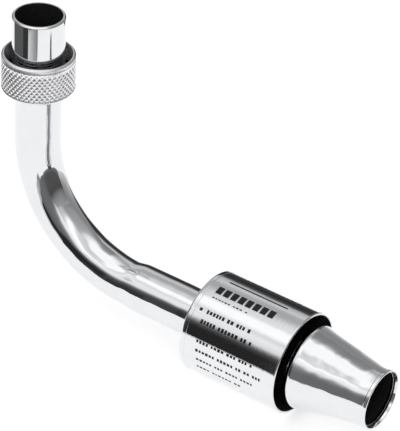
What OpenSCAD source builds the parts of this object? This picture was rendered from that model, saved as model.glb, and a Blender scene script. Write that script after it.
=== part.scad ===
// Mixing tube of a small gas grill: a polished bent tube that carries gas and
// air from the valve's mouth, through a venturi, up to the burner.
// Millimetres. +Z runs up the burner spigot, +X runs out of the valve's mouth.
// The origin is the centre of the seat on which the burner's socket stands.

/* [Mixing tube] */
// Outside diameter of the bent tube
tube_d = 25.4; // [24:0.1:26]
// Wall of the bent tube
tube_wall = 1.2; // [0.8:0.1:1.6]
// Centre-line radius of the square bend
bend_r = 67; // [60:1:90]
// Straight leg from the seat down to the bend
upper_leg = 42; // [42:1:60]
// Outside diameter of the lower leg, swaged out after the bend
swage_d = 27; // [26.5:0.1:28]
// Length of the taper from the bend to the swaged leg
swage_len = 7; // [4:0.5:10]
// Length of the lower leg, from the bend to its open end
lower_leg = 86; // [84:1:90]

/* [Spigot and seat] */
// Outside diameter of the burner spigot
spigot_d = 28.6; // [28:0.1:29.4]
// Height of the spigot above the seat
spigot_h = 34; // [25:0.5:45]
// Length of bent tube that is brazed inside the spigot
lap = 14; // [8:1:20]
// Outside diameter of the seat collar
collar_d = 32.8; // [31:0.1:33.4]
// Thickness of the seat collar
collar_h = 5.5; // [4:0.1:7]
// Depth to which the sleeve's tapered foot is let into the collar
collar_socket = 1; // [0.5:0.1:2]

/* [Coupling nut] */
// Outside diameter of the nut over its plain band
nut_d = 39.8; // [39:0.1:42]
// Overall height of the nut
nut_h = 21.5; // [20:0.1:24]
// Height of the nut's rim above the seat when it is pulled up
nut_rise = 11.3; // [10:0.1:13]
// Number of diamonds round the knurl
knurl_count = 44; // [36:1:48]
// Rows of diamonds along the nut
knurl_rows = 5; // [3:1:5]
// Height of one diamond along the nut
diamond_h = 3.4; // [2.8:0.1:3.4]
// Radial depth of the knurl
knurl_depth = 0.5; // [0.3:0.05:0.7]
// Plain band between the nut's rim and the knurl
plain_band = 3; // [2:0.1:4]
// Bore over the crests of the thread
thread_bore_d = 34.6; // [34.2:0.1:35]
// Radial depth of the thread
thread_depth = 0.9; // [0.5:0.1:1.2]
// Thickness of the inward lip that pulls on the washer
lip_h = 3; // [2:0.1:4]
// Radial clearance of nut and washer on the tube
slide_gap = 0.4; // [0.3:0.05:0.6]
// Thickness of the thrust washer
washer_h = 1.5; // [1:0.1:2]

/* [Wind shield] */
// Outside diameter of the wind shield
shield_d = 57.2; // [56:0.1:60]
// Wall of the shield
shield_wall = 1.5; // [1:0.1:2]
// Distance from the bend to the back of the shield's rear cap
shield_start = 52; // [48:1:53]
// Length of the shield with its rear cap
shield_len = 60.5; // [58:0.5:62]
// Radius of the rear cap's drawn shoulder
shoulder_r = 2.6; // [1.5:0.1:3]

/* [Mixer bell] */
// Widest outside diameter of the bell, at its shoulder
bell_d = 47; // [45:0.1:48]
// Radius of the bell's rear shoulder
bell_shoulder_r = 4; // [3:0.1:5]
// Half angle of the bell's taper, in degrees
bell_taper = 10.9; // [10:0.1:11.5]
// Wall of the bell
bell_wall = 1.4; // [1:0.1:1.8]
// Outside diameter of the short straight land behind the mouth
mouth_d = 32.8; // [32:0.1:34]
// Distance from the shield's front rim to the plane of the mouth
bell_reach = 48.5; // [46:0.5:52]
// Outside diameter of the windowed cage behind the shoulder
cage_d = 36; // [34:0.5:38]
// Number of air windows round the cage
window_count = 4; // [3:1:6]
// Length of an air window
window_len = 15; // [13:0.5:16]
// Width of an air window
window_w = 13; // [8:0.5:13]

/* [Throat, hub and rivets] */
// Smallest bore of the throat nozzle
throat_d = 18; // [14:0.5:20]
// Diameter of the nozzle's flared inlet
inlet_d = 30; // [28:0.5:31]
// Length of nozzle that is pressed into the tube
throat_tail = 9; // [6:1:12]
// Length of the nozzle's flare in front of the tube
throat_flare = 7; // [5:0.5:9]
// Length of the hub's seat for the cage
hub_len = 10; // [8:1:12]
// Thickness of the hub's flange
hub_flange_h = 4; // [3:0.5:5]
// Diameter of the hub's flange
hub_flange_d = 38; // [37:0.5:42]
// Number of rivets that hold the cage to the hub
rivet_count = 4; // [3:1:6]
// Shank diameter of a rivet
rivet_d = 3.2; // [2.4:0.1:4]

/* [Hidden] */
$fn = 96;
STEEL = "silver";
BRASS = "darkkhaki";
DARK_STEEL = "dimgray";

tube_r = tube_d / 2;
swage_r = swage_d / 2;
spigot_r = spigot_d / 2;
foot_r = spigot_r - 0.4;      // narrow end of the sleeve's tapered foot
collar_r = collar_d / 2;
nut_r = nut_d / 2;
thread_r = thread_bore_d / 2;
shield_r = shield_d / 2;
bell_r = bell_d / 2;
mouth_r = mouth_d / 2;
cage_r = cage_d / 2;

// Washer and nut hang under the collar with this much play along the tube.
seat_play = 0.05;
washer_top = -collar_h - seat_play;
lip_top = washer_top - washer_h - seat_play;

// Stations along the lower leg, counted from the end of the bend.
shield_front = shield_start + shield_len;
cap_rim = 3.6;               // width of the cap's rim that shows behind the shield
cap_skirt = 11;              // depth of the cap's skirt inside the shield
mouth_plane = shield_front + bell_reach;
hub_start = shield_start + 16;
cage_start = hub_start + hub_flange_h;
window_mid = (lower_leg + throat_flare + shield_front) / 2;
rivet_at = cage_start + hub_len / 2;

// Points on an arc in a profile, from angle a0 to angle a1.
function arc(c, r, a0, a1, steps = 6) =
    [for (i = [0:steps]) let (a = a0 + (a1 - a0) * i / steps) c + r * [cos(a), sin(a)]];

// Places what is built along +Z on the lower leg, at a distance from the bend.
module on_lower_leg(station = 0) {
    translate([bend_r + station, 0, -upper_leg - bend_r]) rotate([0, 90, 0]) children();
}

// A turned ring about +Z with its lower face at height z.
module ring(r_out, r_in, h, z = 0) {
    translate([0, 0, z]) difference() {
        cylinder(r = r_out, h = h);
        translate([0, 0, -1]) cylinder(r = r_in, h = h + 2);
    }
}

// The bent tube as a solid rod; the same rod, thinner and longer, is its bore.
module bent_rod(r, r_swaged, over = 0) {
    translate([0, 0, -upper_leg]) cylinder(r = r, h = upper_leg + lap + over);
    translate([bend_r, 0, -upper_leg]) rotate([90, 0, 0]) rotate([0, 0, 180])
        rotate_extrude(angle = 90) translate([bend_r, 0]) circle(r = r);
    on_lower_leg() rotate_extrude()
        polygon([[0, 0], [r, 0], [r_swaged, swage_len],
                 [r_swaged, lower_leg + over], [0, lower_leg + over]]);
}

module elbow_tube() {
    color(STEEL) difference() {
        bent_rod(tube_r, swage_r);
        bent_rod(tube_r - tube_wall, swage_r - tube_wall, 1);
    }
}

// A length of the next tube size up, slipped over the bent tube's upper end.
module spigot_sleeve() {
    rim_r = (spigot_r - tube_r) / 2;
    color(STEEL) rotate_extrude()
        polygon(concat(
            [[tube_r, -collar_socket], [foot_r, -collar_socket], [spigot_r, 0]],
            arc([spigot_r - rim_r, spigot_h - rim_r], rim_r, 0, 180, 8)));
}

// The shoulder that the nut pulls up against the burner.
module seat_collar() {
    edge = 0.6;
    color(STEEL) rotate_extrude()
        polygon([[tube_r, -collar_h], [collar_r - edge, -collar_h], [collar_r, edge - collar_h],
                 [collar_r, -edge], [collar_r - edge, 0], [spigot_r, 0],
                 [foot_r, -collar_socket], [tube_r, -collar_socket]]);
}

module thrust_washer() {
    color(STEEL)
        ring(thread_r - slide_gap, tube_r + slide_gap, washer_h, washer_top - washer_h);
}

// Band of knurled diamonds: four-sided pyramids between two sets of crossing
// grooves. Points alternate between crest and groove, column by column.
module knurl_ring(low, r_in) {
    crest_r = nut_r - 0.05;
    columns = 2 * knurl_count;
    rows = 2 * knurl_rows;
    high = low + knurl_rows * diamond_h;
    function around(i, r, z) = [r * cos(i * 360 / columns), r * sin(i * 360 / columns), z];
    function at(k, i) = k * columns + i % columns;
    inner_low = rows + 1;
    inner_high = rows + 2;
    polyhedron(
        points = concat(
            [for (k = [0:rows], i = [0:columns - 1])
                around(i, crest_r - ((i + k) % 2) * knurl_depth, low + k * diamond_h / 2)],
            [for (z = [low, high], i = [0:columns - 1]) around(i, r_in, z)]),
        faces = concat(
            [for (k = [0:rows - 1], i = [0:columns - 1]) each (i + k) % 2 == 0
                ? [[at(k, i), at(k + 1, i), at(k, i + 1)],
                   [at(k + 1, i), at(k + 1, i + 1), at(k, i + 1)]]
                : [[at(k, i), at(k + 1, i + 1), at(k, i + 1)],
                   [at(k, i), at(k + 1, i), at(k + 1, i + 1)]]],
            [for (rim = [[rows, inner_high], [inner_high, inner_low], [inner_low, 0]],
                  i = [0:columns - 1])
                [at(rim[0], i), at(rim[1], i), at(rim[1], i + 1), at(rim[0], i + 1)]]));
}

// Knurled ring nut: thread above, undercut below it, and an inward lip.
module coupling_nut() {
    edge = 0.5;
    bottom = nut_rise - nut_h;
    undercut = 2.5;
    undercut_top = nut_rise - 10;
    root_r = thread_r + thread_depth;
    core_r = nut_r - knurl_depth - 0.3;
    knurl_top = nut_rise - plain_band;
    knurl_bottom = knurl_top - knurl_rows * diamond_h;
    color(STEEL) {
        rotate_extrude()
            polygon([
                [tube_r + slide_gap, lip_top - lip_h], [nut_r - 2 * edge, bottom],
                [nut_r - edge, knurl_bottom + 0.3], [core_r, knurl_bottom + 0.3],
                [core_r, knurl_top - 0.1], [nut_r, knurl_top - 0.1],
                [nut_r, nut_rise - edge], [nut_r - edge, nut_rise],
                [root_r + edge / 2, nut_rise], [thread_r, nut_rise - thread_depth],
                [thread_r, undercut_top], [root_r, undercut_top - edge],
                [root_r, undercut_top - undercut], [thread_r, undercut_top - undercut - edge],
                [thread_r, lip_top], [tube_r + slide_gap, lip_top]]);
        knurl_ring(knurl_bottom, core_r - 0.4);
    }
}

// Drawn cap that closes the back of the shield and hugs the tube.
module rear_cap() {
    inner_r = shield_r - shield_wall;
    neck_len = 9;
    color(STEEL) on_lower_leg(shield_start) rotate_extrude()
        polygon(concat(
            [[swage_r, 0]],
            arc([shield_r - shoulder_r, shoulder_r], shoulder_r, -90, 0),
            [[shield_r, cap_rim], [inner_r, cap_rim], [inner_r, cap_skirt],
             [inner_r - shield_wall, cap_skirt]],
            arc([inner_r - shield_wall - shoulder_r, shield_wall + shoulder_r], shoulder_r, 0, -90),
            [[swage_r + shield_wall, shield_wall], [swage_r + shield_wall, neck_len],
             [swage_r, neck_len]]));
}

// Open sleeve that keeps the wind off the air windows.
module wind_shield() {
    lip_r = shield_wall / 2;
    length = shield_len - cap_rim;
    color(STEEL) on_lower_leg(shield_start + cap_rim) rotate_extrude()
        polygon(concat(
            [[shield_r - shield_wall, 0], [shield_r, 0]],
            arc([shield_r - lip_r, length - lip_r], lip_r, 0, 180)));
}

// Turned hub, brazed on the tube, that carries the bell's cage.
module bell_hub() {
    color(BRASS) on_lower_leg(hub_start) difference() {
        union() {
            ring(hub_flange_d / 2, swage_r, hub_flange_h);
            ring(cage_r - bell_wall, swage_r, hub_len, hub_flange_h);
        }
        rivet_holes(hub_flange_h + hub_len / 2);
    }
}

// Runs round the axis once for each rivet, with +X pointing outwards.
module at_each_rivet() {
    for (i = [0:rivet_count - 1]) rotate([0, 0, (i + 0.5) * 360 / rivet_count]) children();
}

module rivet_holes(z) {
    at_each_rivet() translate([swage_r - 1, 0, z]) rotate([0, 90, 0])
        cylinder(d = rivet_d, h = cage_r);
}

module hub_rivets() {
    head_r = rivet_d * 0.9;
    head_h = 1.2;
    bulge_r = (head_r * head_r + head_h * head_h) / (2 * head_h);
    head_edge = asin(head_r / bulge_r);
    shank = cage_r - swage_r;
    color(DARK_STEEL) on_lower_leg(rivet_at) at_each_rivet()
        translate([swage_r, 0, 0]) rotate([0, 90, 0]) rotate_extrude()
            polygon(concat(
                [[0, 0], [rivet_d / 2, 0], [rivet_d / 2, shank], [head_r, shank]],
                [for (a = [head_edge:-head_edge / 4:1])
                    [bulge_r * sin(a), shank + head_h - bulge_r * (1 - cos(a))]],
                [[0, shank + head_h]]));
}

// Outside of the bell in profile, or its inside at a depth below the outside.
function bell_profile(depth) =
    let (
        back = shield_front,
        shoulder = [bell_r - bell_shoulder_r, back + bell_shoulder_r],
        r = bell_shoulder_r - depth,
        leave = shoulder + r * [cos(bell_taper), sin(bell_taper)],
        land_r = mouth_r - depth,
        land = leave[1] + (leave[0] - land_r) / tan(bell_taper)
    )
    concat(
        [[cage_r - depth, cage_start], [cage_r - depth, back + depth]],
        arc(shoulder, r, -90, bell_taper, 8),
        [[land_r + 0.5, land - 2], [land_r, land + 1]]);

// Spun bell: cage with air windows, shoulder, taper and beaded mouth.
module mixer_bell() {
    bead_r = (bell_wall + 0.6) / 2;
    bead_z = mouth_plane - bead_r;
    outside = bell_profile(0);
    inside = bell_profile(bell_wall);
    color(STEEL) on_lower_leg() difference() {
        rotate_extrude()
            polygon(concat(
                outside,
                [[mouth_r, bead_z - bead_r]],
                arc([mouth_r + 0.3 - bead_r, bead_z], bead_r, -30, 90, 8),
                [[mouth_r - bell_wall + 0.7, mouth_plane - 0.4],
                 [mouth_r - bell_wall, bead_z - bead_r]],
                [for (i = [len(inside) - 1:-1:0]) inside[i]]));
        rivet_holes(rivet_at);
        for (i = [0:window_count - 1]) rotate([0, 0, i * 360 / window_count])
            air_window();
    }
}

// Slot with round ends, cut outwards through the cage.
module air_window() {
    run = (window_len - window_w) / 2;
    translate([0, 0, window_mid]) rotate([0, 90, 0]) linear_extrude(height = bell_r) {
        square([2 * run, window_w], center = true);
        for (side = [-1, 1]) translate([side * run, 0]) circle(d = window_w);
    }
}

// Venturi nozzle pressed into the open end of the tube.
module throat_nozzle() {
    tail_r = swage_r - tube_wall;
    flare_r = inlet_d / 2;
    throat_r = throat_d / 2;
    sweep = flare_r - 0.8 - throat_r;
    color(BRASS) on_lower_leg(lower_leg) rotate_extrude()
        polygon(concat(
            [[tail_r - 0.8, -throat_tail], [tail_r, -throat_tail], [tail_r, 0],
             [swage_r, 0], [flare_r, throat_flare - 1.5], [flare_r, throat_flare]],
            arc([throat_r + sweep, throat_flare - sweep], sweep, 90, 180, 8),
            [[throat_r, -1]]));
}

elbow_tube();
spigot_sleeve();
seat_collar();
thrust_washer();
coupling_nut();
rear_cap();
wind_shield();
bell_hub();
hub_rivets();
mixer_bell();
throat_nozzle();
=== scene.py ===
# %% [markdown]
# # The mixing tube of a small gas grill
#
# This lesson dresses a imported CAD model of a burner's mixing tube: a polished
# bent tube with a spigot and a knurled coupling nut at its upper end, and a
# wind shield and a tapered bell at its lower end. The CAD gives the frame:
# where each part is, and how the nut slides and spins. Blender adds what the
# eye sees: fine edges, a cut knurl, a thread, a drawn bend and real metal.
#
# +Z runs up the spigot and +X runs out of the bell. The origin is the middle
# of the seat collar's top face, inside the nut.

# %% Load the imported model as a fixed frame
import math

import bpy
import numpy as np
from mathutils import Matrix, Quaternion, Vector


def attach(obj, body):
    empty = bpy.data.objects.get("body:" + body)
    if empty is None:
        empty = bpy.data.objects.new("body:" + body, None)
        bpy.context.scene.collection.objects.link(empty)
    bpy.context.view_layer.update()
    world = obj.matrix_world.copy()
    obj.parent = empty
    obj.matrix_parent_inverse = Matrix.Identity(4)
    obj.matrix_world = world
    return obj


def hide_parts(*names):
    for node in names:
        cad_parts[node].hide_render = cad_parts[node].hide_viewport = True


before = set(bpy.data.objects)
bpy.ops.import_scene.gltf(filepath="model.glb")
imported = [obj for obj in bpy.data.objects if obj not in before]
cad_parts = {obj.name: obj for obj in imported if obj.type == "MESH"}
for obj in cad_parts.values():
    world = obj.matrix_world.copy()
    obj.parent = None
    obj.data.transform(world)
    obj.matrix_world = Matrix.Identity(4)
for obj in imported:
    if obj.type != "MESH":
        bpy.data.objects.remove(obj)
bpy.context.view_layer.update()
MM = 0.001  # every length below is written in millimetres
print("CAD nodes:", ", ".join(sorted(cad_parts)))

# %% [markdown]
# ## Main sizes
#
# The same named sizes as in the CAD source, in millimetres, so that a dressed
# part lies where its solid lies. Stations along the lower leg are counted from
# the end of the bend.

# %% Sizes shared with the CAD
TUBE_R, TUBE_WALL, SWAGE_R, SWAGE_LEN = 12.7, 1.2, 13.5, 7
BEND_R, UPPER_LEG, LOWER_LEG, LAP = 67, 42, 86, 14
SPIGOT_R, SPIGOT_H = 14.3, 34
COLLAR_R, COLLAR_H = 16.4, 5.5
NUT_R, NUT_TOP, NUT_BOTTOM, THREAD_R, THREAD_DEPTH = 19.9, 11.3, -10.2, 17.3, 0.9
WASHER_TOP, WASHER_BOTTOM, LIP_TOP, LIP_BOTTOM, SLIDE_GAP = -5.55, -7.05, -7.1, -10.1, 0.4
SHIELD_R, SHIELD_WALL, SHIELD_START, SHIELD_FRONT, CAP_RIM = 28.6, 1.5, 52, 112.5, 3.6
BELL_R, BELL_WALL, BELL_TAPER, LAND_R, MOUTH = 23.5, 1.4, 10.9, 16.4, 161
CAGE_R, CAGE_START, WINDOW_LEN, WINDOW_W = 18, 72, 15, 13
WINDOW_MID = (LOWER_LEG + 7 + SHIELD_FRONT) / 2
HUB_START, HUB_FLANGE_R, HUB_FLANGE_H, HUB_LEN = 68, 19, 4, 10
RIVET_AT, RIVET_R = 77, 1.6
AXIS_Z = -UPPER_LEG - BEND_R
FLOOR_Z = AXIS_Z - SHIELD_R
print(f"lower leg's axis at z = {AXIS_Z} mm, floor at z = {FLOOR_Z} mm")

# %% [markdown]
# ## How turned parts are made
#
# Nearly every part here was turned on a lathe, spun or drawn, so each one is a
# profile that goes once round an axis. The mesh is built from rings of points,
# so that a knurl or a thread can change the radius from point to point.
#
# Polished metal shows every edge as a thin line of light, so no corner may be
# perfectly sharp. `rounded` puts a small arc on each corner, and a holding
# point just beyond it, so that smooth shading doesn't smear over the flats.

# %% Round the corners of a profile
MOST_CUT, MOST_HOLD = 0.48, 0.49  # the share of an edge for a rounding, and with its hold
STRAIGHT = math.radians(178)  # a corner opener than this is left as it is


def rounded(corners, steps=7, hold=0.15):
    """Closed profile from corners (radius, height, rounding), each corner as an arc.
    A rounding of 0 leaves the corner as it is, without holding points."""
    points, count = [], len(corners)
    for i, (r, z, rounding) in enumerate(corners):
        here = np.array([r, z], float)
        back = np.array(corners[i - 1][:2], float) - here
        ahead = np.array(corners[(i + 1) % count][:2], float) - here
        reach = [np.linalg.norm(back), np.linalg.norm(ahead)]
        back, ahead = back / reach[0], ahead / reach[1]
        half = math.acos(max(-1, min(1, float(back @ ahead)))) / 2
        if rounding == 0 or half > STRAIGHT / 2:
            points.append(here)
            continue
        cut = min(rounding / math.tan(half), MOST_CUT * min(reach))
        radius = cut * math.tan(half)
        inwards = (back + ahead) / np.linalg.norm(back + ahead)
        centre = here + inwards * (radius / math.sin(half))
        start, end = here + back * cut - centre, here + ahead * cut - centre
        turn = math.atan2(start[0] * end[1] - start[1] * end[0], float(start @ end))
        if cut + hold < MOST_HOLD * reach[0]:
            points.append(here + back * (cut + hold))
        for k in range(steps + 1):
            a = turn * k / steps
            points.append(centre + [start[0] * math.cos(a) - start[1] * math.sin(a),
                                    start[0] * math.sin(a) + start[1] * math.cos(a)])
        if cut + hold < MOST_HOLD * reach[1]:
            points.append(here + ahead * (cut + hold))
    return points


def divided(profile, step, low, high, where):
    """Adds a point each `step` mm between two heights, where the radius allows it, so that a
    relief can be cut there."""
    points = []
    for a, b in zip(profile, [*profile[1:], profile[0]]):
        points.append(a)
        if where(a[0]) and min(a[1], b[1]) >= low - 1e-6 and max(a[1], b[1]) <= high + 1e-6:
            cuts = round(abs(b[1] - a[1]) / step)
            points += [a + (b - a) * k / cuts for k in range(1, cuts)]
    return points


square = rounded([(0, 0, 1), (10, 0, 1), (10, 10, 1), (0, 10, 1)])
print("a square with rounded corners takes", len(square), "points")

# %% [markdown]
# ## From rings to a Blender mesh
#
# A mesh is a list of points and a list of faces that name them. `skin` joins
# neighbouring rings of points with quads, and checks by the enclosed volume
# that the faces look outwards.

# %% Build a mesh object from rings of points
SHARP = 40  # edges that turn by more degrees than this are shaded sharp


def shade_smooth(mesh, sharp=SHARP):
    """Smooth shading that stops at sharp edges."""
    mesh.polygons.foreach_set("use_smooth", [True] * len(mesh.polygons))
    mesh.set_sharp_from_angle(angle=math.radians(sharp))


def add_mesh(name, points, faces, sharp=SHARP, check=True):
    """A smooth-shaded mesh object from points in millimetres."""
    mesh = bpy.data.meshes.new(name)
    mesh.from_pydata((np.asarray(points) * MM).tolist(), [], faces)
    if check:
        mesh.validate()
    shade_smooth(mesh, sharp)
    made = bpy.data.objects.new(name, mesh)
    bpy.context.scene.collection.objects.link(made)
    return made


def skin(name, rings, sharp=SHARP):
    """Closed skin over an array of rings (ring, point, xyz); the last ring joins the first."""
    rings = np.asarray(rings, float)
    m, n = rings.shape[:2]
    index = np.arange(m * n).reshape(m, n)
    beside, above = np.roll(index, -1, 1), np.roll(index, -1, 0)
    quads = np.stack([index, beside, np.roll(beside, -1, 0), above], -1).reshape(-1, 4)
    flat = rings.reshape(-1, 3)
    a, b, c, d = (flat[quads[:, k]] for k in range(4))
    # Each quad is two triangles, and each with the origin holds a sixth of this product.
    volume = (np.einsum("ij,ij->i", a, np.cross(b, c))
              + np.einsum("ij,ij->i", a, np.cross(c, d))).sum()
    if volume < 0:
        quads = quads[:, ::-1]
    made = add_mesh(name, flat, quads.tolist(), sharp, check=False)
    print(f"{name}: {len(flat)} points, {abs(volume) / 6:.0f} mm3")
    return made


# %% [markdown]
# ## Turning round either axis
#
# The upper parts turn round +Z and the lower parts round the lower leg. Both
# are a start point, an axis, and the direction from which angles are counted.
# On the lower leg, angle 0 is the top and 90 degrees is the side towards -Y.

# %% The two axes and the lathe
UPRIGHT = dict(start=(0, 0, 0), along=(0, 0, 1), zero=(1, 0, 0), quarter=(0, 1, 0))
LOWER = dict(start=(BEND_R, 0, AXIS_Z), along=(1, 0, 0), zero=(0, 0, 1), quarter=(0, -1, 0))
LOOKS_IN = -0.6  # a face whose normal leans in by more than this is part of a bore


def on_axis(axis, r, angle, height):
    """Points at a radius, an angle and a height on an axis; the inputs broadcast."""
    r, angle, height = np.broadcast_arrays(r, angle, height)
    place = {k: np.array(v, float) for k, v in axis.items()}
    return (place["start"] + height[..., None] * place["along"]
            + (r * np.cos(angle))[..., None] * place["zero"]
            + (r * np.sin(angle))[..., None] * place["quarter"])


def turned(name, profile, axis, segments=192, relief=None, sharp=SHARP):
    """Spins a closed profile of (radius, height) round an axis. A relief adds to the radius
    from point to point. Faces that look towards the axis get the piece's second material."""
    profile = np.array(profile, float)
    angle = np.arange(segments) * 2 * np.pi / segments
    r = np.repeat(profile[:, :1], segments, 1)
    z = np.repeat(profile[:, 1:], segments, 1)
    if relief is not None:
        r = r + relief(angle[None, :], r, z)
    made = skin(name, on_axis(axis, r, angle[None, :], z), sharp)
    run = np.roll(profile, -1, 0) - profile
    area = (profile[:, 0] * run[:, 1] - profile[:, 1] * run[:, 0]).sum()
    outward = run[:, 1] * np.sign(area) / np.maximum(np.linalg.norm(run, axis=1), 1e-9)
    inner = np.repeat(outward < LOOKS_IN, segments).astype(np.int32)
    made.data.polygons.foreach_set("material_index", inner)
    return made


print("axes start at", UPRIGHT["start"], "and", LOWER["start"], "mm")

# %% [markdown]
# ## One way to write materials
#
# A node material is a small graph. `node` adds one node, sets its values and
# links its inputs in one call. Colours are given as sRGB hex, as a colour
# picker shows them, and turned to the linear values that a renderer works in.

# %% Helpers for colours and nodes
def linear(hex_colour):
    """Linear RGBA of an sRGB hex colour."""
    channels = [int(hex_colour[i:i + 2], 16) / 255 for i in (1, 3, 5)]
    return [c / 12.92 if c <= 0.04045 else ((c + 0.055) / 1.055) ** 2.4 for c in channels] + [1]


def node(tree, kind, inputs=None, stops=None, **settings):
    """Adds a node. An input is a value, an output socket of another node, or the node
    itself, which stands for its first output in use. Stops are the marks of a colour ramp,
    in rising order: (position, grey level)."""
    made = tree.nodes.new(kind)
    for key, value in settings.items():
        setattr(made, key, value)
    for key, value in (inputs or {}).items():
        if isinstance(value, bpy.types.Node):
            value = next(socket for socket in value.outputs if socket.enabled)
        if isinstance(value, bpy.types.NodeSocket):
            tree.links.new(value, made.inputs[key])
        else:
            made.inputs[key].default_value = value
    if stops:
        marks = made.color_ramp.elements
        marks[0].position, marks[1].position = stops[0][0], stops[-1][0]
        for position, _ in stops[1:-1]:
            marks.new(position)
        for mark, (_, grey) in zip(marks, stops):
            mark.color = (grey, grey, grey, 1)
    return made


def new_material(name):
    """An empty node material: (material, node tree)."""
    material = bpy.data.materials.new(name)
    material.use_nodes = True
    material.node_tree.nodes.clear()
    return material, material.node_tree


def per_size(millimetres):
    """Texture scale at which one cell of the pattern is this many millimetres wide."""
    return 1 / (millimetres * MM)


print("mid grey #808080 is", round(linear("#808080")[0], 3), "in linear light")

# %% [markdown]
# ## Chromium plate over polished steel
#
# Decorative chrome is a mirror. What makes it look real is not its colour but
# how the mirror is a little wrong: the steel under it has slow waves, up to a
# tenth or two of a millimetre where it was bent or spun, the polishing wheel
# left hair-fine lines, and fingers left faint dull patches. So the recipe is a
# pale metal with a small roughness that a soft noise raises in patches, and two
# bumps: one for the slow waves and one for the wheel's lines.

# %% Chrome
SMUDGE, STREAK_SIZE = 9, 1  # mm across a patch dulled by fingers, and between two streaks


def polished_chrome(name, wave, wave_size, roughness, streak=0.002, grain=(1, 1, 1),
                    haze=0.05, hue="#E6E7E9"):
    """Chromium plate. Wave and streak are heights in mm, and wave_size the mm from wave to
    wave; grain below 1 draws the streaks out along that axis. Haze is a smudge's roughness."""
    material, tree = new_material(name)
    place = node(tree, "ShaderNodeNewGeometry")
    slow = node(tree, "ShaderNodeTexNoise", {
        "Vector": place, "Scale": per_size(wave_size), "Detail": 1.0})
    # Real polishing lines are microns apart; these are coarse enough to show.
    drawn = node(tree, "ShaderNodeMapping", {"Vector": place, "Scale": grain})
    lines = node(tree, "ShaderNodeTexNoise", {
        "Vector": drawn, "Scale": per_size(STREAK_SIZE), "Detail": 3.0})
    # A noise keeps to the middle half of its range, so each bump may go twice its height.
    waves = node(tree, "ShaderNodeBump", {"Height": slow, "Distance": wave * 2 * MM})
    polish = node(tree, "ShaderNodeBump", {
        "Height": lines, "Distance": streak * 2 * MM, "Normal": waves})
    smudge = node(tree, "ShaderNodeTexNoise", {
        "Vector": place, "Scale": per_size(SMUDGE), "Detail": 3.0})
    dull = node(tree, "ShaderNodeMapRange", {
        "Value": smudge, "From Min": 0.5, "From Max": 0.75,
        "To Min": roughness, "To Max": roughness + haze})
    tint = node(tree, "ShaderNodeMapRange", {
        "Value": smudge, "From Min": 0.35, "From Max": 0.75, "To Min": 1.0, "To Max": 0.965})
    colour = node(tree, "ShaderNodeMix", {"Factor": 1.0, "A": linear(hue), "B": tint},
                  data_type="RGBA", blend_type="MULTIPLY")
    shader = node(tree, "ShaderNodeBsdfPrincipled", {
        "Base Color": colour, "Metallic": 1.0, "Roughness": dull, "Normal": polish})
    node(tree, "ShaderNodeOutputMaterial", {"Surface": shader})
    return material


# Bending stretched the tube, so its mirror bends every band that it shows.
tube_chrome = polished_chrome("chromium_plate_on_bent_tube", 0.12, 13, 0.045,
                              grain=(0.4, 0.4, 0.4))
# The spigot was drawn: nearly true, with fine lines down its length.
spigot_chrome = polished_chrome("chromium_plate_on_drawn_spigot", 0.004, 9, 0.05,
                                streak=0.0015, grain=(1, 1, 0.05))
# The shield was rolled and brushed round, which frays the edges of its bands.
shield_chrome = polished_chrome("chromium_plate_on_rolled_shield", 0.006, 10, 0.03,
                                streak=0.016, grain=(1, 0.3, 0.3))
# The bell was spun over a form, which leaves its highlights broken and liquid.
bell_chrome = polished_chrome("chromium_plate_on_spun_bell", 0.2, 9, 0.05, grain=(0.12, 1, 1))
# The knurl's teeth can't be polished, so the nut is satin and paler than the rest.
nut_chrome = polished_chrome("chromium_plate_on_cut_knurl", 0.003, 6, 0.34, streak=0.001,
                             haze=0.06, hue="#F2F2F4")
print("chromes:", ", ".join(m.name for m in bpy.data.materials))

# %% [markdown]
# ## Turned brass and plain steel
#
# The hub and the nozzle are turned brass, and the collar, washer and rivets are
# plain steel. A lathe tool leaves fine rings, which a wave texture along the
# axis draws as a bump, and a noise shades the colour where the metal tarnishes.

# %% Brass and steel with tool marks
STAIN = 5  # mm across a tarnished patch
WAVE_RATE = 20  # the Wave node's phase turns by 20 radians in one unit of its scale


def tool_marked(name, hues, direction, roughness, feed=0.4):
    """Turned metal; feed is in mm along X or Z for each radian of the tool's rings."""
    material, tree = new_material(name)
    place = node(tree, "ShaderNodeNewGeometry")
    rings = node(tree, "ShaderNodeTexWave", {
        "Vector": place, "Scale": per_size(feed) / WAVE_RATE,
        "Distortion": 0.6, "Detail": 1.0}, bands_direction=direction)
    cut = node(tree, "ShaderNodeBump", {
        "Height": rings.outputs["Fac"], "Strength": 0.6, "Distance": 0.01 * MM})
    stain = node(tree, "ShaderNodeTexNoise", {
        "Vector": place, "Scale": per_size(STAIN), "Detail": 4.0})
    colour = node(tree, "ShaderNodeMix", {
        "Factor": stain, "A": linear(hues[0]), "B": linear(hues[1])}, data_type="RGBA")
    rough = node(tree, "ShaderNodeMapRange", {
        "Value": stain, "From Min": 0.3, "From Max": 0.7,
        "To Min": roughness - 0.06, "To Max": roughness + 0.08})
    shader = node(tree, "ShaderNodeBsdfPrincipled", {
        "Base Color": colour, "Metallic": 1.0, "Roughness": rough, "Normal": cut})
    node(tree, "ShaderNodeOutputMaterial", {"Surface": shader})
    return material


brass = tool_marked("turned_brass", ("#DCC07A", "#C4A45E"), "X", 0.26)
collar_steel = tool_marked("turned_steel_heat_tinted", ("#A9A59F", "#8D8882"), "Z", 0.34)
washer_steel = tool_marked("stamped_steel", ("#B4B4B4", "#9C9C9C"), "Z", 0.4, feed=0.8)
thread_steel = tool_marked("oiled_steel_thread", ("#77777A", "#4C4C4E"), "Z", 0.3)
rivet_steel = tool_marked("headed_steel_wire", ("#B0B1B4", "#989A9D"), "X", 0.32, feed=0.6)
metals = brass, collar_steel, washer_steel, thread_steel, rivet_steel
print("turned metals:", ", ".join(m.name for m in metals))

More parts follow.
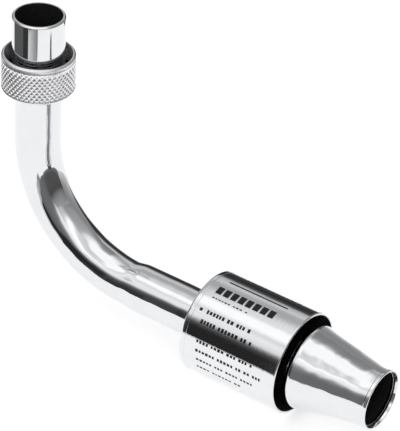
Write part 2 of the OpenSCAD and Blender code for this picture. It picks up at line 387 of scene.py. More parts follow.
# %% [markdown]
# ## The unplated bores
#
# Plating doesn't reach far into a tube. Inside, the steel keeps the mill scale
# of its making: dull, with a fine grain where the scale has flaked. Its near-black
# colour is painted shade, and that is what makes each open end read as a dark
# hole with a bright rim.

# %% The bores' painted shade, as a near-black matt surface
def near_black_matt(name, hues, patch, spread, detail, strength, depth, roughness, specular):
    """A matt surface of two near blacks, in patches some mm across that also stand up a
    little: ink, or a bore's painted shade. Spread is the part of the noise over which one
    black turns into the other."""
    material, tree = new_material(name)
    place = node(tree, "ShaderNodeNewGeometry")
    patches = node(tree, "ShaderNodeTexNoise", {
        "Vector": place, "Scale": per_size(patch), "Detail": detail})
    share = node(tree, "ShaderNodeMapRange", {
        "Value": patches, "From Min": spread[0], "From Max": spread[1]})
    colour = node(tree, "ShaderNodeMix", {
        "Factor": share, "A": linear(hues[0]), "B": linear(hues[1])}, data_type="RGBA")
    bumps = node(tree, "ShaderNodeBump", {
        "Height": patches, "Strength": strength, "Distance": depth * MM})
    shader = node(tree, "ShaderNodeBsdfPrincipled", {
        "Base Color": colour, "Roughness": roughness, "IOR": 1.5,
        "Specular IOR Level": specular, "Normal": bumps})
    node(tree, "ShaderNodeOutputMaterial", {"Surface": shader})
    return material


# These near blacks are painted shade: the bores are coloured as dark as a hole in shadow.
# Real scale is finer than 0.1 mm; 0.7 mm flakes are the smallest that show.
bore_painted_shade = near_black_matt("bare_steel_bore_painted_shade", ("#18181A", "#2C2B2A"), 0.7, (0.4, 0.65),
                      detail=4.0, strength=0.5, depth=0.05, roughness=0.6, specular=0.25)
print("bore:", bore_painted_shade.name)

# %% [markdown]
# ## The bent tube
#
# The tube was bent on a former: its section goes slightly oval in the bend, and
# a small wrinkle is left on the inside where the bend stops. The lower end was
# then swaged out. A curve with a bevel makes a perfect bend only, so the rings
# are placed one by one, each with its own width in and out of the bend's plane.

# %% The tube's centre line
BEND_START, BEND_LEN = LAP + UPPER_LEG, BEND_R * math.pi / 2
BEND_END = BEND_START + BEND_LEN
TUBE_END = BEND_END + LOWER_LEG


def tube_station(length):
    """(centre, outward direction in the plane of the bend) at a length from the tube's top end."""
    if length <= BEND_START:
        return (0, 0, LAP - length), (-1, 0, 0)
    if length <= BEND_END:
        a = (length - BEND_START) / BEND_R
        return ((BEND_R - BEND_R * math.cos(a), 0, -UPPER_LEG - BEND_R * math.sin(a)),
                (-math.cos(a), 0, -math.sin(a)))
    return (BEND_R + length - BEND_START - BEND_LEN, 0, AXIS_Z), (0, 0, -1)


print(f"the tube is {TUBE_END:.1f} mm long, {BEND_LEN:.1f} mm of it bent")

# %% Sweep the tube
def ease(low, high, value):
    """Smooth step from 0 to 1."""
    t = min(1, max(0, (value - low) / (high - low)))
    return t * t * (3 - 2 * t)


OVAL = 0.026  # how far the bend's section departs from a circle
WRINKLE, WRINKLE_AT, WRINKLE_LEN = 0.22, 2.5, 4.5  # mm high, past the bend's end, and long
WAVE_SINK = 0.11  # mm; the waves only go inwards, so they stay inside the solid


def bent_tube(name):
    """The tube with its wall, as rings from its upper end to its lower end and back inside."""
    lengths = np.unique(np.round(np.concatenate([
        [0.5, 0.6, 0.8], np.arange(1, BEND_START, 3.5), np.arange(BEND_START, BEND_END, 1.1),
        np.arange(BEND_END, BEND_END + 14, 0.5), np.arange(BEND_END + 14, TUBE_END - 1, 3.5),
        [TUBE_END - 0.8, TUBE_END - 0.6, TUBE_END - 0.5]]), 4))
    sides = 160
    angle = np.arange(sides) * 2 * np.pi / sides

    def ring(length, depth):
        """One ring of the tube's wall, at a length along it and a depth below its outside."""
        centre, outward = tube_station(length)
        past = length - BEND_END
        r = TUBE_R + (SWAGE_R - TUBE_R) * ease(-1, SWAGE_LEN + 1, past)
        oval = OVAL * ease(BEND_START - 6, BEND_START + 16, length) * (
            1 - ease(BEND_END - 16, BEND_END + 4, length))
        in_plane, across = r * (1 - 1.2 * oval), r * (1 + 0.8 * oval)
        wrinkle = WRINKLE * math.exp(-((past - WRINKLE_AT) / WRINKLE_LEN) ** 2)
        inner_side = np.clip(-np.cos(angle), 0, 1) ** 2
        # The former leaves long shallow waves in the bend. For each: its height, the mm along
        # the tube for a radian of it, and how it winds round.
        bent = ease(BEND_START - 4, BEND_START + 20, length) * (
            1 - ease(BEND_END, BEND_END + 12, length))
        waves = (0.045 * np.sin(length / 5.2 + 2.1 * np.cos(angle + 0.6))
                 + 0.035 * np.sin(length / 3.1 - 3 * angle)
                 + 0.03 * np.sin(length / 8.5 + 4 * angle + 1.3))
        grow = 1 - depth / r
        out_by = in_plane * grow * np.cos(angle) - wrinkle * inner_side
        side = across * grow * np.sin(angle)
        swell = bent * (waves - WAVE_SINK)
        out_by, side = out_by + swell * np.cos(angle), side + swell * np.sin(angle)
        return (np.array(centre, float) + out_by[:, None] * np.array(outward, float)
                + side[:, None] * np.array([0, 1, 0]))

    outer = [ring(v, 0) for v in lengths]
    inner = [ring(v, TUBE_WALL) for v in lengths[::-1]]
    lip = 0.5  # mm taken off each edge of the cut ends
    lower_lip = [ring(TUBE_END, lip), ring(TUBE_END, TUBE_WALL - lip)]
    upper_lip = [ring(0, TUBE_WALL - lip), ring(0, lip)]
    rings = outer + lower_lip + inner + upper_lip
    made = skin(name, rings)
    # The bore's rows take the second material: bare steel painted near black as shade.
    first = len(outer) + len(lower_lip)
    row = np.arange(len(rings))
    bore = (row >= first) & (row < first + len(inner) - 1)
    inside = np.repeat(bore, sides).astype(np.int32)
    made.data.polygons.foreach_set("material_index", inside)
    return made


tube = bent_tube("bent_tube")
tube.data.materials.append(tube_chrome)
tube.data.materials.append(bore_painted_shade)
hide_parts("elbow_tube")
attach(tube, "root")

# %% [markdown]
# ## Spigot, seat collar and washer
#
# The spigot is a length of the next tube size, slipped over the bent tube and
# brazed. Its rim is fully rounded, so it shows as a bright line round a dark
# hole. The collar and the washer sit low in the nut, where only a glimpse of
# them shows.

# %% Turn the three small rings
def dress(piece, node_name, material, body="root", bore=None):
    """Gives a finished piece its materials, outside and bore, and its place in the frame."""
    piece.data.materials.append(material)
    piece.data.materials.append(bore or material)
    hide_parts(node_name)
    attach(piece, body)


SOCKET, FOOT_R = 1, 13.9  # the sleeve's tapered foot is let into the collar
SLIDE_R = TUBE_R + SLIDE_GAP  # the washer and the nut's lip slide on the tube
# Two points just above the taper hold the wall's shading upright.
spigot_profile = rounded([
    (TUBE_R, -SOCKET, 0), (FOOT_R, -SOCKET, 0), (SPIGOT_R, 0, 0), (SPIGOT_R, 0.2, 0),
    (SPIGOT_R, 0.4, 0), (SPIGOT_R, SPIGOT_H - 0.8, 0.7), (SPIGOT_R - 0.65, SPIGOT_H, 0.45),
    (TUBE_R, SPIGOT_H, 0.35)], steps=8)
# The spigot's bore takes the near black that is painted shade.
dress(turned("burner_spigot_tube", spigot_profile, UPRIGHT),
      "spigot_sleeve", spigot_chrome, bore=bore_painted_shade)
collar_profile = rounded([
    (TUBE_R, -COLLAR_H, 0), (COLLAR_R, -COLLAR_H, 0.6), (COLLAR_R, 0, 0.6),
    (SPIGOT_R, 0, 0), (FOOT_R, -SOCKET, 0), (TUBE_R, -SOCKET, 0)])
dress(turned("seat_ring", collar_profile, UPRIGHT), "seat_collar", collar_steel)
washer_profile = rounded([
    (SLIDE_R, WASHER_BOTTOM, 0.2), (THREAD_R - SLIDE_GAP, WASHER_BOTTOM, 0.3),
    (THREAD_R - SLIDE_GAP, WASHER_TOP, 0.3), (SLIDE_R, WASHER_TOP, 0.2)])
dress(turned("sliding_washer", washer_profile, UPRIGHT),
      "thrust_washer", washer_steel, "washer")

# %% [markdown]
# ## The knurled nut
#
# A knurl is pressed by two wheels whose teeth lean left and right. Each wheel
# leaves slanting V grooves, and the metal between them stands up as diamonds.
# A bump map would leave the nut's outline smooth, so the grooves are cut in the
# mesh, with ten mesh columns to a diamond, so that each runs exactly along mesh
# points. Inside, a helix cuts the thread in the same way.

# %% Cut the knurl and the thread
KNURL_STARTS, DIAMOND_H, KNURL_DEPTH = 44, 3.4, 0.5
KNURL_LOW, KNURL_HIGH = -8.7, 8.3
KNURL_FADE = 0.8, 1.9  # mm over which the wheels run out at the lower and upper end
BLUNT = 0.15  # share of each diamond that stays flat on top
THREAD_PITCH, THREAD_LOW, THREAD_HIGH = 2.0, 1.3, 10.4
THREAD_FADE = 1.0, 0.6  # mm over which the thread runs in and out
BORE_SIDE = THREAD_R + 0.05  # a wall within this radius belongs to the threaded bore


def groove(turns):
    """1 in the middle of each V groove, falling to 0 halfway to the next."""
    return np.abs((turns % 1.0) - 0.5) * 2


def nut_relief(angle, r, z):
    """How far the knurl cuts into the nut's outside, and the thread into its bore, in mm."""
    turns = angle * KNURL_STARTS / (2 * np.pi)
    rise = (z - KNURL_LOW) / DIAMOND_H + 0.5
    left, right = groove(turns + rise), groove(turns - rise)
    cut = np.clip(np.maximum(left, right) - BLUNT, 0, 1) / (1 - BLUNT)
    fade = (np.clip((z - KNURL_LOW) / KNURL_FADE[0], 0, 1)
            * np.clip((KNURL_HIGH - z) / KNURL_FADE[1], 0, 1))
    outside = (r > THREAD_R + 1.4) * fade
    helix = groove(angle / (2 * np.pi) - z / THREAD_PITCH)
    run_in = (np.clip((z - THREAD_LOW) / THREAD_FADE[0], 0, 1)
              * np.clip((THREAD_HIGH - z) / THREAD_FADE[1], 0, 1))
    inside = (r < BORE_SIDE) * (z > THREAD_LOW) * run_in
    # Steeper than 1 and cut off at both ends, the V gets a flat root and a flat crest.
    thread = np.clip(helix * 1.3 - 0.15, 0, 1)
    return -KNURL_DEPTH * cut * outside + THREAD_DEPTH * thread * inside


nut_profile = rounded([
    (SLIDE_R, LIP_BOTTOM, 0.2), (NUT_R - 1.1, NUT_BOTTOM, 0.3),
    (NUT_R, KNURL_LOW - 0.2, 0.3), (NUT_R, KNURL_HIGH + 0.1, 0),
    (NUT_R - 0.05, KNURL_HIGH + 0.2, 0), (NUT_R - 0.05, NUT_TOP - 0.9, 0.5),
    (NUT_R - 0.9, NUT_TOP, 0.4), (THREAD_R + 1.15, NUT_TOP, 0.2),
    (THREAD_R, THREAD_HIGH, 0), (THREAD_R, THREAD_LOW, 0),
    (THREAD_R + THREAD_DEPTH, 0.8, 0.2), (THREAD_R + THREAD_DEPTH, -1.2, 0.2),
    (THREAD_R, -1.7, 0), (THREAD_R, LIP_TOP, 0.2), (SLIDE_R, LIP_TOP, 0.2)], steps=5)
nut_profile = divided(nut_profile, DIAMOND_H / 10, KNURL_LOW - 0.3, KNURL_HIGH + 0.2,
                      lambda r: r > THREAD_R + 1.2)
nut_profile = divided(nut_profile, THREAD_PITCH / 9, THREAD_LOW, THREAD_HIGH,
                      lambda r: r <= BORE_SIDE)
dress(turned("knurled_nut", nut_profile, UPRIGHT, KNURL_STARTS * 10, nut_relief, sharp=28),
      "coupling_nut", nut_chrome, "nut", thread_steel)

# %% [markdown]
# ## The wind shield and its rear cap
#
# The shield is rolled tube with a rounded front lip. A drawn cap closes its
# back: its rolled shoulder shows behind the sleeve, and the joint between them
# is a fine dark line, which only reads if both edges are slightly rounded.

# %% Turn the cap and the shield
BORE_R = SHIELD_R - SHIELD_WALL
inner_r, neck_r = BORE_R - SHIELD_WALL, SWAGE_R + SHIELD_WALL
lip, inner_back = SHIELD_START + CAP_RIM, SHIELD_START + SHIELD_WALL
skirt, neck = SHIELD_START + 11, SHIELD_START + 9  # where they end
cap_profile = rounded([
    (SWAGE_R, SHIELD_START, 0.2), (SHIELD_R, SHIELD_START, 2.6), (SHIELD_R, lip, 0.22),
    (BORE_R, lip, 0), (BORE_R, skirt, 0.3), (inner_r, skirt, 0.3),
    (inner_r, inner_back, 2.4), (neck_r, inner_back, 0.8), (neck_r, neck, 0.4),
    (SWAGE_R, neck, 0)], steps=10)
dress(turned("shield_rear_cap", cap_profile, LOWER, 256),
      "rear_cap", shield_chrome)
shield_profile = rounded([
    (BORE_R, lip, 0), (SHIELD_R, lip, 0.22), (SHIELD_R, SHIELD_FRONT, 0.74),
    (BORE_R, SHIELD_FRONT, 0.74)], steps=10)
# The shield's bore takes the near black that is painted shade.
dress(turned("wind_shield_sleeve", shield_profile, LOWER, 256),
      "wind_shield", shield_chrome, bore=bore_painted_shade)

# %% [markdown]
# ## The bell
#
# The bell was spun from sheet: a cage with four air windows, a rounded
# shoulder, a taper that ends in a short straight land, where the gas valve's
# nozzle slides in, and a rolled bead round the mouth.

# %% Spin the bell
SHOULDER, CAD_SHOULDER = 5.2, 4  # radius of the spun shoulder here and in the solid
HOLD = 0.2  # mm; a point this far beyond a curve's end holds the shading of the flat


def bell_outline(depth):
    """Shoulder arc, land radius and land start of the bell, at a depth below the outside."""
    taper = math.radians(BELL_TAPER)
    # A rounder shoulder sits further in, so that it still meets the same taper.
    inwards = (SHOULDER - CAD_SHOULDER) * (1 + math.sin(taper)) / math.cos(taper)
    centre = np.array([BELL_R - CAD_SHOULDER - inwards, SHIELD_FRONT + SHOULDER])
    turn = np.linspace(-math.pi / 2, taper, 18)
    arc = centre + (SHOULDER - depth) * np.stack([np.cos(turn), np.sin(turn)], 1)
    hold = arc[-1] + np.array([-math.sin(taper), math.cos(taper)]) * HOLD
    land_r = LAND_R - depth
    land = arc[-1, 1] + (arc[-1, 0] - land_r) / math.tan(taper)
    return [(r, z, 0) for r, z in [*arc, hold]], land_r, land


def flare(before, corner, after, steps=10):
    """Quadratic curve from one point to another, drawn towards the corner between them."""
    before, corner, after = (np.array(p, float) for p in (before, corner, after))
    return [(*((1 - t) ** 2 * before + 2 * t * (1 - t) * corner + t * t * after), 0)
            for t in np.linspace(0, 1, steps)]


BEAD, BEAD_OUT = 2.0, 0.3  # the bead's length along the mouth, and how far it stands out
GROOVE = (1.6, 2.3)  # from the mouth, the groove where the bead's edge was rolled in


def bell_corners():
    """The bell's closed profile: up the outside to the mouth, then back down the inside."""
    slope = math.tan(math.radians(BELL_TAPER))
    arc, land_r, land = bell_outline(0)
    arc_i, land_ri, land_i = bell_outline(BELL_WALL)
    cage_i = CAGE_R - BELL_WALL
    reach, run_out = 8, 3.5  # the flare starts before the land and ends within it
    outside = flare((land_r + reach * slope, land - reach), (land_r, land),
                    (land_r, land + run_out))
    inside = flare((land_ri, land_i + run_out), (land_ri, land_i),
                   (land_ri + reach * slope, land_i - reach))
    return [
        (CAGE_R, CAGE_START, 0.2), (CAGE_R, SHIELD_FRONT, 0), *arc,
        (land_r + (reach + HOLD) * slope, land - reach - HOLD, 0), *outside,
        (land_r, MOUTH - BEAD - 0.25, 0.35), (LAND_R + BEAD_OUT, MOUTH - BEAD, 0.5),
        (LAND_R + BEAD_OUT, MOUTH, 0.95), (land_ri + 0.8, MOUTH, 0.3),
        (land_ri + 0.35, MOUTH - GROOVE[0] + 0.1, 0.1), (land_ri + 0.75, MOUTH - GROOVE[0], 0),
        (land_ri + 0.75, MOUTH - GROOVE[1], 0), (land_ri + 0.03, MOUTH - GROOVE[1] - 0.1, 0.1),
        *inside, (land_ri + (reach + HOLD) * slope, land_i - reach - HOLD, 0), *arc_i[::-1],
        (cage_i, SHIELD_FRONT + BELL_WALL, 0.6), (cage_i, CAGE_START, 0.2)]


bell = turned("mixer_bell_shell", rounded(bell_corners(), steps=14), LOWER, 256)

# %% [markdown]
# ## Windows and rivet holes
#
# The windows are cut with a Boolean modifier, as a mill would cut them, and the
# modifier is applied so that the piece is a plain mesh again. The face of the
# mouth is plated. The rest of the bell's inside, and the groove in the mouth,
# is bare steel painted near black as shade.

# %% Tools that cut a mesh
QUARTER = math.pi / 2
CLEAR = 22  # a radius outside the cage, where the cutters end


def spokes(angle):
    """Unit vectors away from the lower leg's axis and on round it, at an angle."""
    return (np.array([0, -math.sin(angle), math.cos(angle)]),
            np.array([0, -math.cos(angle), -math.sin(angle)]))


def four_cutters(outline, station, low, shift=0):
    """Prisms across the lower leg's axis, from a radius out, a quarter turn apart. The first
    is at the top, or later by a share of a quarter turn."""
    start, n = np.array([BEND_R + station, 0, AXIS_Z], float), len(outline)
    faces = [[k, (k + 1) % n, n + (k + 1) % n, n + k] for k in range(n)]
    faces += [list(range(n))[::-1], list(range(n, 2 * n))]
    made = []
    for k in range(4):
        out, side = spokes((k + shift) * QUARTER)
        made.append(add_mesh("cutter", [start + (x, 0, 0) + y * side + h * out
                                        for h in (low, CLEAR) for x, y in outline], faces))
    return made


def circle(r, first=0, last=360, count=24):
    """Points (x, y) on a circle, evenly from one angle in degrees up to before another."""
    return [(r * math.cos(a), r * math.sin(a))
            for a in np.radians(first + (last - first) * np.arange(count) / count)]


def stadium(length, width, steps=10):
    """Outline of a slot with round ends."""
    run, turn = (length - width) / 2, 180 * (steps + 1) / steps
    return [(side * run + x, y) for side, first in ((1, -90), (-1, 90))
            for x, y in circle(width / 2, first, first + turn, steps + 1)]


def cut_out(piece, cutters):
    """Subtracts each cutter from the piece, then deletes the cutter."""
    for tool in cutters:
        step = piece.modifiers.new("cut", "BOOLEAN")
        step.operation, step.solver, step.object = "DIFFERENCE", "EXACT", tool
        bpy.context.view_layer.update()
        graph = bpy.context.evaluated_depsgraph_get()
        result = bpy.data.meshes.new_from_object(piece.evaluated_get(graph))
        piece.modifiers.clear()
        piece.data = result
        bpy.data.objects.remove(tool)
    shade_smooth(piece.data)


window = stadium(WINDOW_LEN, WINDOW_W)
print("a window's outline has", len(window), "points")

# %% Cut the bell
hole = circle(RIVET_R)
cut_out(bell, four_cutters(window, WINDOW_MID, 5) + four_cutters(hole, RIVET_AT, 14.2, 0.5))
# Faces past the plated face, and the groove, take the bore's near black: painted shade.
PLATED = 3.8  # the plating reaches this far into the mouth, but not into the groove
for face in bell.data.polygons:
    in_from_mouth = BEND_R + MOUTH - face.center.x / MM
    radius = math.hypot(face.center.y, face.center.z - AXIS_Z * MM) / MM
    grooved = GROOVE[0] < in_from_mouth < GROOVE[1] and radius < LAND_R
    if in_from_mouth < PLATED:
        face.material_index = int(grooved)
dress(bell, "mixer_bell", bell_chrome, bore=bore_painted_shade)
print("bell after cutting:", len(bell.data.polygons), "faces")

# %% [markdown]
# ## Hub, rivets and nozzle
#
# A brass hub on the end of the tube carries the cage, four rivets hold it, and
# a flared brass nozzle in the tube's end forms the throat of the venturi. They
# show only through the gap between shield and bell and through the windows.

# %% Turn the hub and the nozzle, and head the rivets
hub_step, hub_end = HUB_START + HUB_FLANGE_H, HUB_START + HUB_FLANGE_H + HUB_LEN
hub = turned("cage_hub", rounded([
    (SWAGE_R, HUB_START, 0.3), (HUB_FLANGE_R, HUB_START, 0.4), (HUB_FLANGE_R, hub_step, 0.4),
    (CAGE_R - BELL_WALL, hub_step, 0), (CAGE_R - BELL_WALL, hub_end, 0.5),
    (SWAGE_R, hub_end, 0.2)]), LOWER)
cut_out(hub, four_cutters(hole, RIVET_AT, 12.5, 0.5))
dress(hub, "bell_hub", brass)

THROAT_R, FLARE_R, SWEEP = 9, 15, 5.2  # the nozzle's throat, its rim, and the curve between
nozzle_end, tube_bore = LOWER_LEG + 7, SWAGE_R - TUBE_WALL
throat = [(THROAT_R + SWEEP + SWEEP * math.cos(a), nozzle_end - SWEEP + SWEEP * math.sin(a), 0)
          for a in np.radians(np.linspace(90, 180, 15))]
nozzle_profile = rounded([
    (tube_bore - 0.8, LOWER_LEG - 9, 0.2), (tube_bore, LOWER_LEG - 9, 0.2),
    (tube_bore, LOWER_LEG, 0), (SWAGE_R, LOWER_LEG, 0.2),
    (FLARE_R, nozzle_end - 1.5, 0.3), (FLARE_R, nozzle_end, 0.25),
    *throat, (THROAT_R, LOWER_LEG - 1, 0.4)])
dress(turned("venturi_nozzle", nozzle_profile, LOWER), "throat_nozzle", brass)


def rivets(sides=32, tip=0.02):
    """Points and faces of the four rivets, each a shank and a domed head."""
    head_r, head_h = RIVET_R * 1.8, 1.2
    bulge = (head_r ** 2 + head_h ** 2) / (2 * head_h)
    dome = [(bulge * math.sin(a), CAGE_R + head_h - bulge * (1 - math.cos(a)))
            for a in np.linspace(math.asin(head_r / bulge), tip, 9)]
    profile = np.array([(tip, SWAGE_R), (RIVET_R, SWAGE_R), (RIVET_R, CAGE_R),
                        (head_r, CAGE_R)] + dome)
    turn, rows = np.arange(sides) * 2 * math.pi / sides, len(profile)
    points, faces = [], []
    for k in range(4):
        out, side = spokes((k + 0.5) * QUARTER)
        shank = dict(start=(BEND_R + RIVET_AT, 0, AXIS_Z), along=out, zero=(1, 0, 0),
                     quarter=side)
        base = len(points)
        points += list(on_axis(shank, profile[:, :1], turn, profile[:, 1:]).reshape(-1, 3))
        last = base + (rows - 1) * sides
        for low in range(base, last, sides):
            for j in range(sides):
                p, q = low + j, low + (j + 1) % sides
                faces.append([p, q, q + sides, p + sides])
        faces += [list(range(base, base + sides))[::-1], list(range(last, last + sides))]
    return points, faces


dress(add_mesh("cage_rivets", *rivets()), "hub_rivets", rivet_steel)
print("hub, nozzle and four rivets")

# %% [markdown]
# ## Printed instructions, without words
#
# The real shield carries printed lines of instructions. Here they are greeked:
# a thin rule, a heading of plain blocks, two bullets and short blocks of uneven
# length in place of letters, each a film of ink that follows the shield. Ink is
# near black and matt, so it stays dark where the chrome beside it is bright.

# %% Ink and where it goes
# A printing screen's mesh is about 0.1 mm; 0.8 mm patches are the smallest that show.
print_ink = near_black_matt("screen_printed_ink", ("#17171A", "#2B2B2E"), 0.8, (0, 1),
                      detail=3.0, strength=0.3, depth=0.01, roughness=0.45, specular=0.2)
# Each mark: first and last station, angle round the shield in degrees, width in mm.
RULES = [(62.5, 99.5, -2.6, 1)]
HEADING = (60.5, 96.8, 14, 5)
LINES = [(68, 103, -24, 1.4), (66, 104, -14.5, 1.6), (61, 83, 25, 0.8),
         (62.8, 91.5, 42, 2.4), (61.7, 95.4, 53.5, 2.4), (63, 97, 64.5, 2),
         (62.8, 99.3, 75, 1.8), (63, 105.5, 86, 1.8), (63.7, 99.7, 97.3, 1.5),
         (63.7, 92.9, 108.5, 1.3)]
BULLETS = [(58.2, 59.9, 42, 1.7), (58.2, 59.9, 64.5, 1.6)]
BLOCKS, BLOCK_GAP = 8, 1.1  # the heading's blocks, and the mm between them
LETTER, LETTER_GAP, WORD_GAP = (1.1, 1.7), 0.65, 1.3  # mm along a line
INK_UNDER, INK_OVER = 0.02, 0.03  # mm of ink below and above the shield's surface
print("ink:", print_ink.name, "in", len(LINES), "lines")


# %% Lay the ink
def ink_bar(points, faces, first, last, angle, width, n=9, m=13):
    """Adds one bar of ink as a closed film over the shield, with m rows of n points."""
    half = width / 2 / SHIELD_R
    across = np.linspace(-half, half, n) + math.radians(angle)
    stations = np.linspace(first, last, m)[:, None]
    base, top = len(points), n * m
    for r in (SHIELD_R - INK_UNDER, SHIELD_R + INK_OVER):
        points += list(on_axis(LOWER, r, across, stations).reshape(-1, 3))
    for i in range(m - 1):
        for j in range(n - 1):
            v = base + i * n + j
            quad = [v, v + 1, v + n + 1, v + n]
            faces += [quad, [v + top for v in quad[::-1]]]
    rim = [*range(0, m * n, n), *range((m - 1) * n + 1, m * n),
           *range((m - 1) * n - 1, 0, -n), *range(n - 2, 0, -1)]
    for v, w in zip(rim, rim[1:] + rim[:1]):
        faces.append([base + v, base + w, base + w + top, base + v + top])


def words(first, last, angle, width, seed):
    """Splits a line into short blocks, a few to a word, as letters are."""
    draw = np.random.default_rng(seed)
    bars, at, full = [], first, last - 1.2
    while at < full:
        for _ in range(draw.integers(2, 7)):
            if at < full:
                length = draw.uniform(*LETTER)
                bars.append((at, at + length, angle, width * draw.uniform(0.75, 1.0)))
                at += length + LETTER_GAP
        at += WORD_GAP
    return bars


marks = RULES + BULLETS
first, last, angle, width = HEADING
block = (last - first + BLOCK_GAP) / BLOCKS
marks += [(first + k * block, first + (k + 1) * block - BLOCK_GAP, angle, width)
          for k in range(BLOCKS)]
for number, line in enumerate(LINES):
    marks += words(*line, seed=number)
ink_points, ink_faces = [], []
for mark in marks:
    ink_bar(ink_points, ink_faces, *mark)
ink = add_mesh("greeked_print", ink_points, ink_faces)
ink.data.materials.append(print_ink)
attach(ink, "root")
print("print:", len(marks), "bars")

# %% [markdown]
# ## The studio
#
# Chrome has no look of its own: it shows the room. The part stands on a white
# sheet with black cards round it, and a large soft box hangs above. The cards'
# reflections are the dark bands that give polished metal its depth; without
# them a chrome part looks like grey plastic.
#
# The sheet glows a little for the camera and for reflections, so that it is
# white in both. The rest of its brightness is real light, so it takes shadows.

# %% Floor
FLOOR_GLOW = 0.58  # strength of the sheet's own glow
SHEET_R, SHEET_X, SHEET_GAP = 6000, 90, 0.02  # radius, middle and depth below the shield
floor_material, tree = new_material("white_paper_sweep")
ray = node(tree, "ShaderNodeLightPath")
seen = node(tree, "ShaderNodeMath", {
    0: ray.outputs["Is Camera Ray"], 1: ray.outputs["Is Glossy Ray"]}, operation="MAXIMUM")
seen = node(tree, "ShaderNodeMath", {
    0: seen, 1: ray.outputs["Is Transmission Ray"]}, operation="MAXIMUM")
glow = node(tree, "ShaderNodeMath", {0: seen, 1: FLOOR_GLOW}, operation="MULTIPLY")
paper = node(tree, "ShaderNodeBsdfDiffuse", {"Color": linear("#E2E2E2")})
white = node(tree, "ShaderNodeEmission", {"Strength": glow})
both = node(tree, "ShaderNodeAddShader", {0: paper, 1: white})
node(tree, "ShaderNodeOutputMaterial", {"Surface": both})

floor = add_mesh("floor", [(SHEET_X + x, y, FLOOR_Z - SHEET_GAP)
                           for x, y in circle(SHEET_R, count=96)], [list(range(96))])
floor.data.materials.append(floor_material)
print("floor:", SHEET_R * 2 * MM, "m across")

# %% [markdown]
# ## Black cards
#
# The cards stand on the sheet in a ring. Each is black at its foot and fades
# to grey or white towards its top, as a card does in front of a lit wall, so
# the band that it draws has one hard edge and one soft one. They don't block
# light and the camera doesn't see them; only reflections do.

# %% Make a card
CARD_GAP = 0.3  # mm between a card's foot, or an apron, and the sheet


def fading_card(name, foot, stops, along=None, apron=None):
    """A card on a line of floor points (x, y), seen by reflections only.
    Stops are (height above the floor in mm, strength); `along` adds a strength
    by X, as (x in mm, strength). An apron lies flat on the floor from the foot:
    its other corners, going back from the foot's last point."""
    material, tree = new_material(name)
    place = node(tree, "ShaderNodeNewGeometry")
    axes = node(tree, "ShaderNodeSeparateXYZ", {"Vector": place})
    ramps = []
    for axis, values, start in (("Z", stops, FLOOR_Z), ("X", along, 0)):
        if values:
            low, high = values[0][0], values[-1][0]
            where = node(tree, "ShaderNodeMapRange", {
                "Value": axes.outputs[axis], "From Min": (start + low) * MM,
                "From Max": (start + high) * MM})
            ramps.append(node(tree, "ShaderNodeValToRGB", {"Fac": where},
                              stops=[((at - low) / (high - low), grey) for at, grey in values]))
    strength = ramps[0]
    if along:
        strength = node(tree, "ShaderNodeMath", {0: strength, 1: ramps[1]}, operation="ADD")
    light = node(tree, "ShaderNodeEmission", {"Strength": strength})
    node(tree, "ShaderNodeOutputMaterial", {"Surface": light})

    points = [(x, y, FLOOR_Z + h) for h in (CARD_GAP, stops[-1][0]) for x, y in foot]
    n = len(foot)
    faces = [[k, k + 1, n + k + 1, n + k] for k in range(n - 1)]
    if apron:
        points += [(x, y, FLOOR_Z + CARD_GAP) for x, y in apron]
        faces.append(list(range(n)) + list(range(2 * n, 2 * n + len(apron))))
    made = add_mesh(name, points, faces)
    made.data.materials.append(material)
    made.visible_camera = made.visible_diffuse = made.visible_shadow = False
    made.visible_transmission = made.visible_volume_scatter = False
    return made


# %% Stand up the cards
LEFT, RIGHT, FRONT, BACK = -320, 420, -310, 300  # the ring's sides, in mm
FRONT_JOIN, BACK_JOIN = 218, 75  # X at which the front and the back card change
cards = [
    fading_card("front_card", [(LEFT, FRONT), (FRONT_JOIN, FRONT), (RIGHT, FRONT)],
                [(0, 0.012), (122, 0.014), (170, 0.07), (202, 0.25), (250, 0.85), (320, 1.0)],
                [(LEFT, 0.06), (-60, 0.05), (-30, 0.01), (45, 0.01), (80, 0.13), (165, 0.16),
                 (RIGHT, 0.12)]),
    # The apron darkens the sheet at the front left, for the dark side of the bend.
    fading_card("front_apron", [(LEFT, FRONT), (FRONT_JOIN, FRONT)], [(0, 0.01), (1, 0.01)],
                [(LEFT, 0.03), (-31, 0.03), (-26, 0.74), (30, 0.6), (90, 0.42), (150, 0.27),
                 (FRONT_JOIN, 0.24)], apron=[(158, -230), (LEFT, -230)]),
    fading_card("right_card", [(RIGHT, FRONT), (RIGHT, BACK)],
                [(0, 0.22), (40, 0.1), (130, 0.08), (190, 0.22), (260, 0.4)]),
    fading_card("back_card", [(BACK_JOIN, BACK), (LEFT, BACK)],
                [(0, 0.12), (60, 0.05), (110, 0.03), (150, 0.05), (186, 0.09), (206, 0.32),
                 (226, 0.52), (296, 0.66)]),
    fading_card("back_right_card", [(RIGHT, BACK), (BACK_JOIN, BACK)],
                [(0, 0.7), (45, 0.5), (80, 0.36), (160, 0.28), (296, 0.3)]),
    fading_card("far_card", [(LEFT, BACK), (LEFT, FRONT)],
                [(0, 0.1), (130, 0.1), (180, 0.2), (260, 0.6)])]

ARC_R = 222  # a low card bent round the upright leg, this far from it
cards.append(fading_card("left_card", circle(ARC_R, -175, -91, 14), [(0, 0.01), (75, 0.01)],
                         [(-ARC_R, 0.1), (-112, 0.1), (-106, 0.03), (-20, 0.03)]))
print("cards:", ", ".join(card.name for card in cards))

# %% [markdown]
# ## Soft light
#
# Above the cards the room is soft walls and a soft box overhead. They are the
# world's own light, mixed by direction only. The camera itself sees plain white
# beyond the floor.

# %% World
world = bpy.data.worlds.new("soft_room")
bpy.context.scene.world = world
world.use_nodes = True
tree = world.node_tree
tree.nodes.clear()
where = node(tree, "ShaderNodeTexCoord")
axes = node(tree, "ShaderNodeSeparateXYZ", {"Vector": where})
turn = node(tree, "ShaderNodeMath", {0: axes.outputs["Y"], 1: axes.outputs["X"]},
            operation="ARCTAN2")

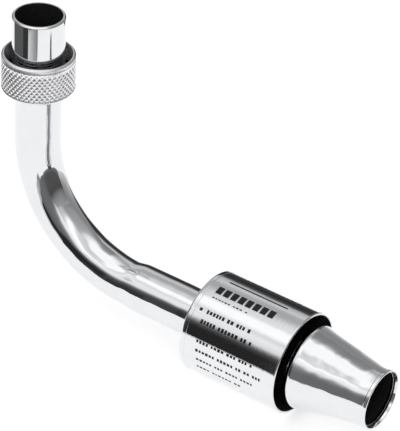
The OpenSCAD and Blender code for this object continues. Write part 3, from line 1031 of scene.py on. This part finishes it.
# The back wall comes first. Each next wall is the pair of azimuths over which it blends in,
# in degrees, and its marks upwards as (elevation, strength). None is the back wall again.
TOP = [(75, 1.2), (90, 1.2)]
WALLS = [
    (None, [(0, 0.12), (18, 0.2), (28, 0.5), (35, 0.66), (39, 0.7), (43, 0.52), (47, 0.47),
            (54, 0.48), (58, 0.58), (62, 0.78), (66, 0.95)] + TOP),
    ((-180, -160), [(0, 0.08), (20, 0.16), (28, 0.36), (35, 0.85), (42, 1.05), (50, 0.85),
                    (57, 1.25)] + TOP),
    ((-115, -85), [(0, 0.12), (15, 0.38), (24, 0.56), (33, 0.8), (40, 1.25), (47, 1.3),
                   (52, 0.85), (66, 0.72)] + TOP),
    ((-25, 5), [(0, 0.15), (20, 0.22), (30, 0.36), (45, 0.4), (55, 0.5), (63, 0.9)] + TOP),
    ((55, 85), [(0, 0.3), (20, 0.27), (30, 0.3), (40, 0.24), (50, 0.27), (60, 0.3), (67, 0.5),
                (72, 0.85)] + TOP),
    ((107, 118), None)]
BOOST = 2.0  # a ramp's colours stop at 1, so the ramps hold this fraction of the strength
back_wall = room = None
for blend, marks in WALLS:
    wall = back_wall
    if marks:
        wall = node(tree, "ShaderNodeValToRGB", {"Fac": axes.outputs["Z"]},
                    stops=[(math.sin(math.radians(up)), grey / BOOST) for up, grey in marks])
    if blend is None:
        back_wall = room = wall
        continue
    share = node(tree, "ShaderNodeMapRange", {
        "Value": turn, "From Min": math.radians(blend[0]),
        "From Max": math.radians(blend[1])}, interpolation_type="SMOOTHSTEP")
    room = node(tree, "ShaderNodeMix", {"Factor": share, "A": room, "B": wall}, data_type="RGBA")
room_light = node(tree, "ShaderNodeBackground", {"Color": room, "Strength": BOOST})
plain_white = node(tree, "ShaderNodeBackground", {"Color": linear("#FFFFFF")})
ray = node(tree, "ShaderNodeLightPath")
seen = node(tree, "ShaderNodeMixShader", {
    0: ray.outputs["Is Camera Ray"], 1: room_light, 2: plain_white})
node(tree, "ShaderNodeOutputWorld", {"Surface": seen})
print("world:", world.name, "with", len(WALLS) - 1, "walls and a soft box")

# %% [markdown]
# ## The camera
#
# A long lens from well above and in front, turned slightly about its own axis.

# %% Place the camera
AZIMUTH, ELEVATION, ROLL = -56.03, 34.215, 3.281
AIM, DISTANCE = (103.206, 8.587, -53.0), 1214.42
SENSOR = 36  # mm along the frame's long side
LENS = 2300 / 431 * SENSOR  # the focal length is 2300 pixels of a frame 431 pixels high

camera = bpy.data.objects.new("camera", bpy.data.cameras.new("camera"))
bpy.context.scene.collection.objects.link(camera)
azimuth, elevation = math.radians(AZIMUTH), math.radians(ELEVATION)
direction = Vector((math.cos(elevation) * math.cos(azimuth),
                    math.cos(elevation) * math.sin(azimuth), math.sin(elevation)))
camera.location = (Vector(AIM) + direction * DISTANCE) * MM
level = direction.to_track_quat("Z", "Y")
camera.rotation_mode = "QUATERNION"
camera.rotation_quaternion = level @ Quaternion((0, 0, 1), math.radians(ROLL))
camera.data.lens, camera.data.sensor_width, camera.data.sensor_fit = LENS, SENSOR, "AUTO"
camera.data.clip_start, camera.data.clip_end = 0.01, 50
bpy.context.scene.camera = camera
bpy.context.scene.view_settings.view_transform = "Standard"
print("camera at", [round(v / MM, 1) for v in camera.location], "mm, lens", round(LENS, 1))
